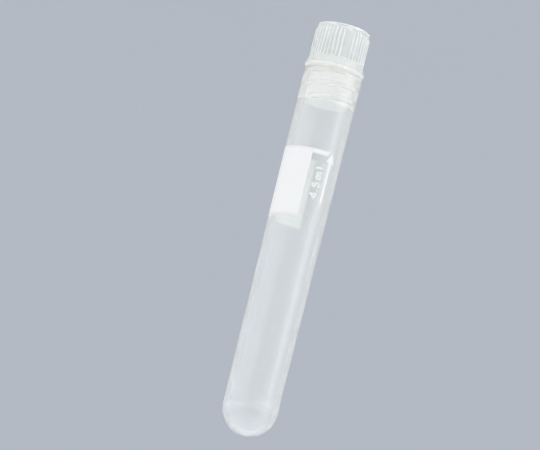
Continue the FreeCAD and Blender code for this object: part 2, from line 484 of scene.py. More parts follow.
def pattern(tree: Tree, size: float, detail: float = 2.0, flow: Flow = Flow.EVEN) -> Socket:
    """Soft noise on the piece's own coordinates in millimetres, so that its scale is one over its size.

    Args:
        tree: The material's tree.
        size: Size of a blotch across the flow, in millimetres.
        detail: Octaves of finer noise.
        flow: Which way the blotches are drawn out.

    Returns:
        The noise, from 0 to 1.
    """
    place = add_node(tree, "ShaderNodeTexCoord", gives="Object")
    scale = tuple(1 / MM / longer for longer in flow.value)
    where = add_node(tree, "ShaderNodeMapping", {"Scale": scale, "Vector": place})
    return add_node(tree, "ShaderNodeTexNoise", {"Scale": 1 / size, "Detail": detail, "Vector": where})


class Blend(Enum):
    """How one colour is laid over another, by the mixing node's own name for it."""

    OVER = "MIX"
    MULTIPLIED = "MULTIPLY"


Source = Socket | Mark
PATTERN_MIDDLE = (0.3, 0.7)


def between(tree: Tree, source: Source, low: float, high: float) -> Socket:
    """A number that runs from low to high with a pattern or a mark.

    Args:
        tree: The material's tree.
        source: A pattern, of which the middle counts, or a mark, from 0 to 1.
        low: The number at the source's low end.
        high: The number at its high end.

    Returns:
        The number.
    """
    first, last = PATTERN_MIDDLE
    if isinstance(source, Mark):
        first, last = 0.0, 1.0
        source = add_node(tree, "ShaderNodeAttribute", gives="Fac", attribute_name=source.value)
    inputs = {"Value": source, "From Min": first, "From Max": last, "To Min": low, "To Max": high}
    return add_node(tree, "ShaderNodeMapRange", inputs)


def blended(
    tree: Tree, source: Source, first: str | Socket, second: str, blend: Blend = Blend.OVER
) -> Socket:
    """A colour that goes from one colour to another with a pattern or a mark.

    Args:
        tree: The material's tree.
        source: The pattern or the mark.
        first: The first colour, as sRGB hex or as a socket.
        second: The second colour, as sRGB hex.
        blend: How the second is laid over the first.

    Returns:
        The colour.
    """
    share = between(tree, source, 0.0, 1.0)
    inputs = {0: share, 6: srgb(first) if isinstance(first, str) else first, 7: srgb(second)}
    return add_node(tree, "ShaderNodeMix", inputs, 2, data_type="RGBA", blend_type=blend.value)


@dataclass(frozen=True, kw_only=True)
class Finish:
    """What a piece can be dressed in: a skin and, in a milky material, a cloud inside that scatters light.

    Attributes:
        name: Name of the material.
        cloud: How often light is scattered in each millimetre, or 0 where none gets in.
        scattered: sRGB colour of the scattered light.
        forward: How much of it goes on forward, from 0 to 1.
    """

    name: str
    cloud: float = 0.0
    scattered: str = "#FFFFFF"
    forward: float = 0.2

    def surface(self, tree: Tree) -> Socket:
        """Make the skin in a material's tree, and return its shader."""
        raise NotImplementedError

    def material(self) -> bpy.types.Material:
        """Make the material.

        Returns:
            The material, with its skin and its cloud.
        """
        material = bpy.data.materials.new(self.name)
        material.use_nodes = True
        tree = material.node_tree
        tree.nodes.clear()
        ends = {"Surface": self.surface(tree)}
        if self.cloud > 0:
            cloud = {"Color": srgb(self.scattered), "Density": self.cloud / MM, "Anisotropy": self.forward}
            ends["Volume"] = add_node(tree, "ShaderNodeVolumeScatter", cloud)
        add_node(tree, "ShaderNodeOutputMaterial", ends)
        return material


@dataclass(frozen=True, kw_only=True)
class NaturalPolypropylene(Finish):
    """Undyed polypropylene homopolymer, injection moulded in a polished tool.

    Its crystals scatter light all through the wall, so it looks milky, thin walls let shapes show through
    softly and thick ones glow. The skin is smooth, with a low gloss, and flow lines a few millimetres apart
    run with the melt.

    Attributes:
        flow: Direction of the flow lines.
        clear: sRGB colour that a wall gives light where the melt cooled fastest.
        milky: sRGB colour that it gives where the melt cooled slowest.
        thin: sRGB colour multiplied in where the piece is marked thin: a faint tint on the tube's thin wall,
        and painted shade on the cap's grip.
        lets_through: Share of the light that goes in through the skin.
        worn_lets_through: Share that goes in where the skin is marked worn, which whitens it: wear, and on the
        cap's rib crests and top edge also a painted highlight.
        roughness: Roughness of the skin, before its flow lines.
        matt_roughness: What is added to it where the tool was left matt, as round a thread.
        ripple: Strength of the flow lines in the skin.
        line_size: Distance between flow lines, in millimetres, as are the next two.
        haze_size: Size of a patch of haze.
        grain_size: Size of the tool's polishing marks, drawn as coarse as they need to be to show.
    """

    flow: Flow
    clear: str
    milky: str
    thin: str
    lets_through: float = 0.96
    worn_lets_through: float = 0.5
    roughness: float = 0.14
    matt_roughness: float = 0.35
    ripple: float = 0.25
    line_size: float = 2.0
    haze_size: float = 5.0
    grain_size: float = 0.25

    def surface(self, tree: Tree) -> Socket:
        """Make the skin, with haze, flow lines and a fine grain, and thin, worn and matt where it is marked so:
        on the cap, thin is painted shade and worn is partly a painted highlight.

        Args:
            tree: The material's tree.

        Returns:
            The skin's shader.
        """
        streaks = pattern(tree, self.line_size, flow=self.flow)
        grain = pattern(tree, self.grain_size, 3.0)
        skin = add_node(tree, "ShaderNodeBump", {"Strength": 0.06, "Distance": 0.02 * MM, "Height": grain})
        lines = {"Strength": self.ripple, "Distance": 0.03 * MM, "Height": streaks, "Normal": skin}
        wall = blended(tree, pattern(tree, self.haze_size), self.clear, self.milky)
        roughness = {
            0: between(tree, streaks, self.roughness - 0.02, self.roughness + 0.03),
            1: between(tree, Mark.MATT, 0.0, self.matt_roughness),
        }
        # The colour is multiplied by the thin colour where marked thin, which on the cap's grip is painted
        # shade.
        shader = add_node(
            tree,
            "ShaderNodeBsdfPrincipled",
            {
                "IOR": 1.49,
                "Transmission Weight": self.lets_through,
                "Base Color": blended(tree, Mark.THIN_TINT_AND_SHADE, wall, self.thin, Blend.MULTIPLIED),
                "Roughness": add_node(tree, "ShaderNodeMath", roughness, operation="ADD"),
                "Normal": add_node(tree, "ShaderNodeBump", lines),
            },
        )
        # The plain value above stays in the socket, where an exporter that can't follow the link finds it.
        # Less light goes in where marked worn, so the skin whitens: wear, and on the cap's rib crests and top
        # edge a painted highlight.
        share = between(tree, Mark.WORN_AND_HIGHLIGHT, self.lets_through, self.worn_lets_through)
        tree.links.new(share, shader.node.inputs["Transmission Weight"])
        return shader


@dataclass(frozen=True, kw_only=True)
class ScreenPrintInk(Finish):
    """White two-part screen-printing ink, about 20 micrometres thick.

    It hides what is under it. Its skin is matt, with the faint grain of the screen's mesh, which is 0.1 mm on
    the real print and is drawn 0.3 mm apart here so that it can show. Its underside, seen through the tube, is
    painted whiter and a touch creamier than its top: painted light that makes up for the dimmer light inside
    the tube.

    Attributes:
        full: sRGB colour where the ink is thick.
        thin: sRGB colour where it is thinner.
        under: sRGB colour of its underside, lighter than the top as painted light.
        mesh: Size of the screen's pattern, in millimetres.
        cover_size: Size of a thicker or thinner patch of ink, in millimetres.
    """

    name: str = "white_screen_print_ink"
    full: str = "#F3F3F5"
    thin: str = "#EFF1F4"
    under: str = "#FFFEFB"
    roughness: float = 0.55
    mesh: float = 0.3
    cover_size: float = 3.0

    def surface(self, tree: Tree) -> Socket:
        """Make the skin, with uneven cover and the grain of the screen's mesh.

        Args:
            tree: The material's tree.

        Returns:
            The skin's shader.
        """
        cover = blended(tree, pattern(tree, self.cover_size, 4.0), self.full, self.thin)
        grain = pattern(tree, self.mesh)
        return add_node(
            tree,
            "ShaderNodeBsdfPrincipled",
            {
                "IOR": 1.5,
                # The underside's lighter colour is painted light for the dim inside of the tube.
                "Base Color": blended(tree, Mark.UNDER, cover, self.under),
                "Roughness": between(tree, grain, self.roughness - 0.05, self.roughness + 0.05),
                "Normal": add_node(
                    tree, "ShaderNodeBump", {"Strength": 0.2, "Distance": 0.01 * MM, "Height": grain}
                ),
            },
        )


@dataclass(frozen=True, kw_only=True)
class MouldedSilicone(Finish):
    """Unfilled silicone rubber, compression moulded and post-cured, which leaves it slightly creamy.

    It is milkier than the plastic, because light is scattered more often inside it, and its skin is dull.

    Attributes:
        pale: sRGB colour that most of it gives light.
        warm: sRGB colour of its warmer blotches.
        blotch_size: Size of a warmer blotch, in millimetres.
        grain_size: Size of the grain that the mould leaves in the skin, in millimetres.
    """

    name: str = "cream_moulded_silicone"
    cloud: float = 3.0
    scattered: str = "#FFFEFC"
    pale: str = "#FFFEFC"
    warm: str = "#FEFDF7"
    blotch_size: float = 1.5
    grain_size: float = 0.15

    def surface(self, tree: Tree) -> Socket:
        """Make the skin, dull and fine-grained, with warm blotches.

        Args:
            tree: The material's tree.

        Returns:
            The skin's shader.
        """
        grain = pattern(tree, self.grain_size, 3.0)
        return add_node(
            tree,
            "ShaderNodeBsdfPrincipled",
            {
                "IOR": 1.41,
                "Transmission Weight": 0.95,
                "Base Color": blended(tree, pattern(tree, self.blotch_size), self.pale, self.warm),
                "Roughness": between(tree, grain, 0.35, 0.45),
                "Normal": add_node(
                    tree, "ShaderNodeBump", {"Strength": 0.2, "Distance": 0.01 * MM, "Height": grain}
                ),
            },
        )


@dataclass(frozen=True, kw_only=True)
class OpalAcrylic(Finish):
    """Cast opal acrylic sheet, lit evenly from below, so that it is pale and takes no shadow.

    Attributes:
        glow: sRGB colour of its light.
        sheet: sRGB colour of the sheet itself, which is kept dark, so that only its own light counts.
    """

    name: str = "opal_acrylic_light_table"
    glow: str = "#B1B7C1"
    sheet: str = "#202122"

    def surface(self, tree: Tree) -> Socket:
        """Make the skin, matt and glowing.

        Args:
            tree: The material's tree.

        Returns:
            The skin's shader.
        """
        return add_node(
            tree,
            "ShaderNodeBsdfPrincipled",
            {
                "Base Color": srgb(self.sheet),
                "Roughness": 0.9,
                "Specular IOR Level": 0.0,
                "Emission Color": srgb(self.glow),
                "Emission Strength": 1.0,
            },
        )


# ---------------------------------------------------------------- the vial's pieces


@dataclass(kw_only=True)
class SubAssembly:
    """Pieces that are built together, move together and share one finish.

    Attributes:
        finish: What the pieces are dressed in.
        pieces: The pieces, once they are built.
    """

    vial: Vial
    finish: Finish
    pieces: list[bpy.types.Object] = field(default_factory=list, init=False)

    def keep(self, piece: bpy.types.Object, body: str, slot: str, node: str | None = None) -> None:
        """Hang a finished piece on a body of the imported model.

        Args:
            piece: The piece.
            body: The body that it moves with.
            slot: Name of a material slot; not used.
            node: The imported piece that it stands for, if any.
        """
        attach(piece, body)
        if node is not None:
            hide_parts(node)
        self.pieces.append(piece)

    def dress(self) -> None:
        """Give every piece the finish's material."""
        material = self.finish.material()
        for piece in self.pieces:
            piece.data.materials.clear()
            piece.data.materials.append(material)


@dataclass(kw_only=True)
class VialTube(SubAssembly):
    """The tube: tapered barrel, ball-shaped bottom with its witness line and gate mark, and threaded mouth.

    Attributes:
        thread: The thread that its mouth and the plug share.
        taper: How much smaller the barrel's radius is at its foot than at the rim.
        seam_step: How far the round bottom lies inside the barrel, and the witness line's height.
        seam_wear: How worn the witness line is, from 0 to 1.
        ear: Height of the line at the two sides, where the tool's halves meet.
        groove_clearance: How much deeper the groove is than the ridge is high.
        side_clearance: How much wider it is on each side.
        groove_ends: Turns by which it starts before the ridge and ends after it.
        groove_margin: How far above the straight bore's end the groove may start.
        straight_bore_below_plug: How far the mouth's straight bore goes on below the plug.
        mouth_chamfer: Width and depth of the chamfer inside the rim.
        thin_fade: Height below the plug's end over which the wall turns thin.
    """

    thread: Thread
    taper: float = 0.4
    wall_at_foot: float = 1.2
    wall_at_mouth: float = 1.4
    seam_step: float = 0.05
    seam_width: float = 0.14
    seam_wear: float = 0.35
    ear: float = 0.2
    gate_radius: float = 0.9
    gate_width: float = 0.16
    gate_depth: float = 0.1
    screwed_wear: float = 1.0
    groove_clearance: float = 0.06
    side_clearance: float = 0.06
    groove_ends: tuple[float, float] = (-0.12, 1.5)
    groove_margin: float = 0.4
    straight_bore_below_plug: float = 1.0
    mouth_chamfer: tuple[float, float] = (0.6, 0.5)
    mouth_fade: float = 0.3
    thin_fade: float = 3.0
    columns: int = 256
    ball_rows: int = 40

    @property
    def foot_radius(self) -> float:
        """Radius of the barrel where the round bottom starts."""
        return self.vial.rim_radius - self.taper

    @property
    def ball_radius(self) -> float:
        """Radius of the round bottom, which the tool's joint leaves a little smaller than the barrel."""
        return self.foot_radius - self.seam_step

    @property
    def mouth_radius(self) -> float:
        """Radius of the mouth's straight bore."""
        return self.vial.rim_radius - self.wall_at_mouth

    def barrel_radius(self, height: Array) -> Array:
        """Radius of the barrel's outside, which grows evenly from the round bottom to the rim."""
        share = (height - self.ball_radius) / (self.vial.rim_height - self.ball_radius)
        return self.foot_radius + self.taper * share

    def section(self) -> Array:
        """The half section: round the bottom, up the barrel, over the rim, down the bore and round its end.

        Returns:
            Radius and height of each row.
        """
        vial = self.vial
        bore_foot = self.foot_radius - self.wall_at_foot
        bore = self.mouth_radius
        chamfer_width, chamfer_depth = self.mouth_chamfer
        thread_foot = vial.plug_end_height - self.straight_bore_below_plug
        outside = half_section(
            [
                Corner(self.ball_radius, self.ball_radius, step=0.08),
                Corner(self.foot_radius, self.ball_radius + 0.04, 0.03, step=2.2),
                Corner(vial.rim_radius, vial.rim_height, 0.2, step=0.3),
                Corner(bore + chamfer_width, vial.rim_height, 0.06, step=0.05),
                Corner(bore, vial.rim_height - chamfer_depth, 0.06, step=0.05),
                Corner(bore, thread_foot, 0.3, step=2.2),
                Corner(bore_foot, self.ball_radius),
            ]
        )
        inner_ball = ball(bore_foot, self.ball_radius, self.ball_rows)[::-1]
        return np.concatenate(
            [ball(self.ball_radius, self.ball_radius, self.ball_rows)[:-1], outside, inner_ball[1:]]
        )

    def build(self) -> None:
        """Build the tube with its thread, witness line and gate mark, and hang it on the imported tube's body.

        The thread pushes the bore out to the groove's radius. The witness line is a low bead round the joint
        of the mould, exp(-(d / width)^2) high at a distance d from it. It wanders a tenth of a millimetre up
        and down, and its ears follow the eighth power of a sine. The gate mark is a shallow ring-shaped
        recess of the same form round the tip.
        """
        section = self.section()
        radius, height, angles, rows = spread(section, np.arange(self.columns) * 360 / self.columns)
        inside = rows > np.argmax(section[:, 1])
        plug_end = self.vial.plug_end_height
        first, last = self.groove_ends
        groove = self.thread.profile(
            height,
            angles,
            self.mouth_radius,
            self.thread.root_radius + self.thread.ridge + self.groove_clearance,
            self.side_clearance,
            (first, self.thread.turns + last),
        )
        lowest = plug_end - self.straight_bore_below_plug + self.groove_margin
        threaded = inside & (height > lowest)
        radius = np.where(threaded, np.maximum(radius, groove), radius)
        turn = np.radians(angles)
        wander = 0.1 * np.sin(2 * turn + 0.6) + 0.05 * np.sin(5 * turn)
        bead = bell((height - self.ball_radius - wander) / self.seam_width)
        ears = self.seam_step + (self.ear - self.seam_step) * np.sin(turn) ** 8
        radius = np.where(inside, radius, radius + bead * ears)
        gate = bell((radius - self.gate_radius) / self.gate_width)
        height = np.where(inside, height, height + self.gate_depth * gate)
        mouth = inside * smooth_step((height - plug_end) / self.mouth_fade)
        marks = {
            Mark.MATT: mouth,
            Mark.WORN_AND_HIGHLIGHT: np.where(inside, self.screwed_wear * mouth, self.seam_wear * bead),
            Mark.THIN_TINT_AND_SHADE: smooth_step((plug_end - height) / self.thin_fade),
        }
        tube = lathe("vial_tube_moulding", self.vial.points(radius, height, angles), marks)
        self.keep(tube, "tube", "natural_polypropylene", "vial_tube")


@dataclass(kw_only=True)
class SealingRing(SubAssembly):
    """The flat silicone ring, squeezed between the rim and the flange so that its edges bulge.

    Attributes:
        plug_radius: Radius of the plug that it sits on.
        setback: How far its outer edge lies inside the flange's.
        clearance: Gap between its hole and the plug.
        slack: What keeps its faces apart from the rim's and the flange's.
    """

    plug_radius: float
    setback: float = 0.25
    clearance: float = 0.1
    edge: float = 0.12
    slack: float = 0.01
    columns: int = 192

    def build(self) -> None:
        """Build the ring from a rounded oblong section, closed round the axis.

        The section is an oblong whose corners are quarter circles, so that its edges bulge as rubber does. A
        hundredth of a millimetre of slack keeps its faces apart from the rim's and the flange's.
        """
        vial = self.vial
        inner = self.plug_radius + self.clearance
        outer = vial.rim_radius - self.setback
        low, high = vial.rim_height + self.slack, vial.flange_height - self.slack
        turn = np.linspace(0, math.pi / 2, 6)
        corners = [
            (outer - self.edge, high - self.edge, 0.0),
            (inner + self.edge, high - self.edge, math.pi / 2),
            (inner + self.edge, low + self.edge, math.pi),
            (outer - self.edge, low + self.edge, 3 * math.pi / 2),
        ]
        radius = np.concatenate([r + self.edge * np.cos(turn + start) for r, _, start in corners])
        height = np.concatenate([h + self.edge * np.sin(turn + start) for _, h, start in corners])
        angle = np.arange(self.columns) * 360 / self.columns
        ring = closed_ring(
            "sealing_ring_silicone", vial.points(radius[:, None], height[:, None], angle[None])
        )
        self.keep(ring, "ring", "silicone", "sealing_ring")


@dataclass(kw_only=True)
class ScrewCap(SubAssembly):
    """The cap: flat top disc, sloped shoulder, ribbed grip with four smooth panels, flange and threaded plug.

    Attributes:
        thread: The thread on its plug.
        top_disc_setback: How far the disc lies inside the ribs' crests.
        grip_setback: How far the ribs' crests lie inside the flange.
        smooth_band: Height of the plain band between the valleys' ends and the flare.
        valley_ease: Height over which a valley runs out at its end.
        valley_lead: Share of that height by which it starts early.
        valley_margin: How far below the top disc's foot the valleys stop.
        flare: Height over which the grip flares out to the flange.
        flare_rows: Height above the flare in which the mesh's rows lie close together.
        flange_land: Height of the upright band between the flare and the flange's edge.
        flange_face_setback: How far the flange's face draws in below its edge.
        hollow_draft: How much the plug's hollow narrows towards the top.
        thread_margin: How far below the flange's face the thread's ridge may reach.
        top_edge_highlight: Height of the top edge's white line, a painted highlight, which is left out of the
            side's painted shade.
        rib_wear_and_highlight: Half width of the whitening along a rib's crest, partly wear and partly a
            painted highlight.
        panel_shade_cut: How much less painted shade the panels get than the valleys, from 0 to 1.
        lower_grip_shade: How much painted shade the grip gets below the valleys' ends.
        side_margin: How far inside the top disc's radius the side's marks reach.
        fade: Width over which marks fade out.
    """

    thread: Thread
    top_disc_height: float = 0.8
    top_disc_setback: float = 0.35
    top_edge: float = 0.15
    shoulder: float = 0.65
    grip_setback: float = 0.5
    rib_height: float = 0.22
    rib_width: float = 0.5
    rib_pitch: float = 8.43
    ribs_per_group: int = 9
    groups: int = 4
    first_panel_angle: float = 13.1
    smooth_band: float = 0.1
    valley_ease: float = 0.25
    valley_lead: float = 0.3
    valley_margin: float = 0.02
    flare: float = 1.6
    flare_blend: float = 3.2
    flare_rows: float = 1.6
    flange_edge: float = 0.55
    flange_land: float = 0.15
    flange_face_setback: float = 0.2
    plug_end_chamfer: float = 0.4
    plug_wall: float = 1.3
    hollow_draft: float = 0.2
    top_wall: float = 1.6
    thread_margin: float = 0.1
    worn_and_highlight_edge: float = 0.13
    top_edge_highlight: float = 0.3
    rib_wear_and_highlight: float = 0.25
    screwed_wear: float = 0.8
    panel_shade_cut: float = 0.6
    lower_grip_shade: float = 0.25
    side_margin: float = 0.1
    fade: float = 0.2
    columns_per_rib: int = 10
    columns_per_panel: int = 10

    @property
    def grip_radius(self) -> float:
        """Radius of the ribs' crests and of the smooth band."""
        return self.vial.flange_radius - self.grip_setback

    @property
    def disc_radius(self) -> float:
        """Radius of the top disc."""
        return self.grip_radius - self.top_disc_setback

    @property
    def disc_foot(self) -> float:
        """Height at which the top disc's side starts."""
        return self.vial.length - self.top_disc_height

    @property
    def flare_top(self) -> float:
        """Height at which the flare leaves the grip."""
        return self.vial.flange_height + self.flange_edge + self.flange_land + self.flare

    @property
    def half_pitch(self) -> float:
        """Half the distance between ribs, round the grip."""
        return math.radians(self.rib_pitch) * self.grip_radius / 2

    def rib_angles(self) -> Array:
        """Angles of all ribs: equal groups, each centred between two smooth panels.

        Returns:
            The angles, group by group.
        """
        groups = self.first_panel_angle + (np.arange(self.groups)[:, None] + 0.5) * 360 / self.groups
        ribs = (np.arange(self.ribs_per_group) - (self.ribs_per_group - 1) / 2) * self.rib_pitch
        return (groups + ribs).reshape(-1)

    def column_angles(self) -> Array:
        """Angles of the mesh's columns: even over each rib's pitch, and even over what is left of a panel.

        Returns:
            The angles, in rising order.
        """
        ribs = self.rib_angles()
        over_rib = (np.arange(self.columns_per_rib) / self.columns_per_rib - 0.5) * self.rib_pitch
        span = 360 / self.groups - self.ribs_per_group * self.rib_pitch
        over_panel = np.arange(self.columns_per_panel) / self.columns_per_panel * span
        after_group = ribs[self.ribs_per_group - 1 :: self.ribs_per_group] + self.rib_pitch / 2
        angles = [(ribs[:, None] + over_rib).reshape(-1), (after_group[:, None] + over_panel).reshape(-1)]
        return np.sort(np.concatenate(angles))

    def section(self) -> Array:
        """The half section: over the top disc, down the grip and the flange, down the plug and up its hollow.

        Returns:
            Radius and height of each row.
        """
        vial = self.vial
        flange = vial.flange_height
        widest = flange + self.flange_edge
        plug = self.thread.root_radius
        mouth = plug - self.plug_wall
        hollow_end = vial.length - self.top_wall
        return half_section(
            [
                Corner(0.0, vial.length, step=1.4),
                Corner(self.disc_radius, vial.length, self.top_edge, step=0.2),
                Corner(self.disc_radius, self.disc_foot, 0.05, step=0.1),
                Corner(self.grip_radius, self.disc_foot - self.shoulder, 0.08, step=0.5),
                Corner(self.grip_radius, self.flare_top + self.flare_rows, step=0.08),
                Corner(self.grip_radius, self.flare_top, self.flare_blend, step=0.1),
                Corner(vial.flange_radius, widest + self.flange_land, 0.3, step=0.1),
                Corner(vial.flange_radius, widest, 0.08, step=0.1),
                Corner(vial.flange_radius - self.flange_face_setback, flange, 0.05, step=0.4),
                Corner(plug, flange, 0.05, step=0.07),
                Corner(plug, vial.plug_end_height + self.plug_end_chamfer, 0.05, step=0.06),
                Corner(plug - self.plug_end_chamfer, vial.plug_end_height, 0.08, step=0.3),
                Corner(mouth, vial.plug_end_height, 0.12, step=1.5),
                Corner(mouth - self.hollow_draft, hollow_end, 0.3, step=0.8),
                Corner(0.0, hollow_end),
            ]
        )

    def rib_distance(self, angle: Array) -> Array:
        """Distance round the grip from each angle to the middle of the nearest rib, in millimetres."""
        away = np.abs((angle[..., None] - self.rib_angles() + 180) % 360 - 180).min(-1)
        return np.radians(away) * self.grip_radius

    def worn_and_highlight_line(self, radius: Array, height: Array, at_radius: float, at_height: float) -> Array:
        """Wear by an edge, and on the top edge a painted highlight: exp(-(d / worn_and_highlight_edge)^2) at a
        distance d from its line.
        """
        return bell(np.hypot(radius - at_radius, height - at_height) / self.worn_and_highlight_edge)

    def valley_depth(self, height: Array, angle: Array) -> Array:
        """How deep the valleys between the ribs go in at each point.

        A rib is the cap of a circle, rib_width wide and rib_height high, on the valleys' radius. Each valley
        ends where the flare begins, in a rounded scallop: at a distance d from the nearest rib's middle it
        ends at r - sqrt(r^2 - (r - d)^2) above its lowest point, where r is half the distance between ribs.

        Args:
            height: Heights of the points.
            angle: Their angles.

        Returns:
            The depth, from 0 on a rib's crest and below the valleys' ends to the ribs' full height.
        """
        away = self.rib_distance(angle)
        half = self.rib_width / 2
        curve = (half**2 + self.rib_height**2) / (2 * self.rib_height)
        crown = np.sqrt(curve**2 - np.minimum(away, half) ** 2) - (curve - self.rib_height)
        scallop = self.half_pitch
        rest = scallop - np.minimum(away, scallop)
        end = self.flare_top + self.smooth_band + scallop - np.sqrt(scallop**2 - rest**2)
        return (self.rib_height - crown) * smooth_step((height - end) / self.valley_ease + self.valley_lead)

    def marks(self, radius: Array, height: Array, angle: Array, grip: Array, below: Array) -> Marks:
        """What the cap's points say about its skin.

        The side is marked thin, as painted shade, between the ribs and, less so, on the panels and the rest of
        the grip, but not along the top edge, which stays a lighter line as a painted highlight. It is worn
        along the ribs' crests, exp(-(d / rib_wear_and_highlight)^2) at a distance d from a rib's middle, and
        round the top edge, which whitens them partly as wear and partly as a painted highlight, and worn round
        the plug's end and all over what goes into the tube, which is also matt.

        Args:
            radius: Radius of each point.
            height: Its height.
            angle: Its angle.
            grip: Whether it lies on the grip or its shoulder.
            below: Whether it comes after the flange's edge in the section.

        Returns:
            The marks.
        """
        vial = self.vial
        upper = height > self.flare_top + self.smooth_band
        outer = radius > self.disc_radius - self.side_margin
        side = upper & outer & (np.arange(len(radius))[:, None] < np.argmax(below))
        away = self.rib_distance(angle)
        # Rib crests whitened, partly as wear and partly as a painted highlight along each rib.
        worn = np.where(side & grip, bell(away / self.rib_wear_and_highlight), 0)
        # The top edge whitened as a painted highlight.
        worn = np.maximum(worn, self.worn_and_highlight_line(radius, height, self.disc_radius, vial.length))
        # Painted shade between the ribs, less of it on the panels and none on the whitened crests.
        thin = (1 - worn) * (1 - self.panel_shade_cut * smooth_step((away - self.half_pitch) / self.fade))
        # The top edge is left out of the painted shade, so that it stays a lighter line: a painted highlight.
        thin = thin * smooth_step((vial.length - self.top_edge_highlight - height) / self.fade)
        worn = np.where(below, self.screwed_wear, worn)
        plug_end_radius = self.thread.root_radius - self.plug_end_chamfer
        worn = np.maximum(worn, self.worn_and_highlight_line(radius, height, plug_end_radius, vial.plug_end_height))
        return {
            Mark.WORN_AND_HIGHLIGHT: worn,
            # Painted shade on the side, and a fainter painted shade on the rest of the grip.
            Mark.THIN_TINT_AND_SHADE: np.where(side, thin, self.lower_grip_shade * grip),
            Mark.MATT: below,
        }

    def build(self) -> None:
        """Build the cap with its ribs and its thread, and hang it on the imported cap's body.

        The valleys between the ribs take away from the section on the grip and its shoulder, as far as the
        top disc allows, and the thread's ridge adds to it on the plug, where the radius is the larger of the
        section's and the ridge's. A 45 degree lead-in from the plug's end trims the ridge.
        """
        vial, thread = self.vial, self.thread
        section = self.section()
        radius, height, angles, rows = spread(section, self.column_angles())
        flange_row = np.argmax(section[:, 0] >= vial.flange_radius - HAIR)
        grip = (rows < flange_row) & (height < self.disc_foot - self.valley_margin)
        valleys = np.minimum(radius, self.grip_radius) - self.valley_depth(height, angles)
        over_grip = np.maximum(radius - self.grip_radius, 0)
        valleys = np.minimum(radius, np.maximum(valleys + over_grip, self.disc_radius))
        radius = np.where(grip, valleys, radius)
        plug_end_row = np.argmax(section[:, 1] <= vial.plug_end_height + HAIR)
        plug = (rows > flange_row) & (rows < plug_end_row)
        plug = plug & (height < vial.flange_height - self.thread_margin)
        crest = thread.root_radius + thread.ridge
        ridge = thread.profile(height, angles, thread.root_radius, crest, 0.0, (0.0, thread.turns))
        lead_in = thread.root_radius - self.plug_end_chamfer + height - vial.plug_end_height
        radius = np.where(plug, np.maximum(radius, np.minimum(ridge, lead_in)), radius)
        marks = self.marks(radius, height, angles, grip, rows > flange_row)
        cap = lathe("screw_cap_moulding", vial.points(radius, height, angles), marks)
        self.keep(cap, "cap", "cap_polypropylene", "screw_cap")


# ---------------------------------------------------------------- the print on the tube


Patch = tuple[Array, Array]


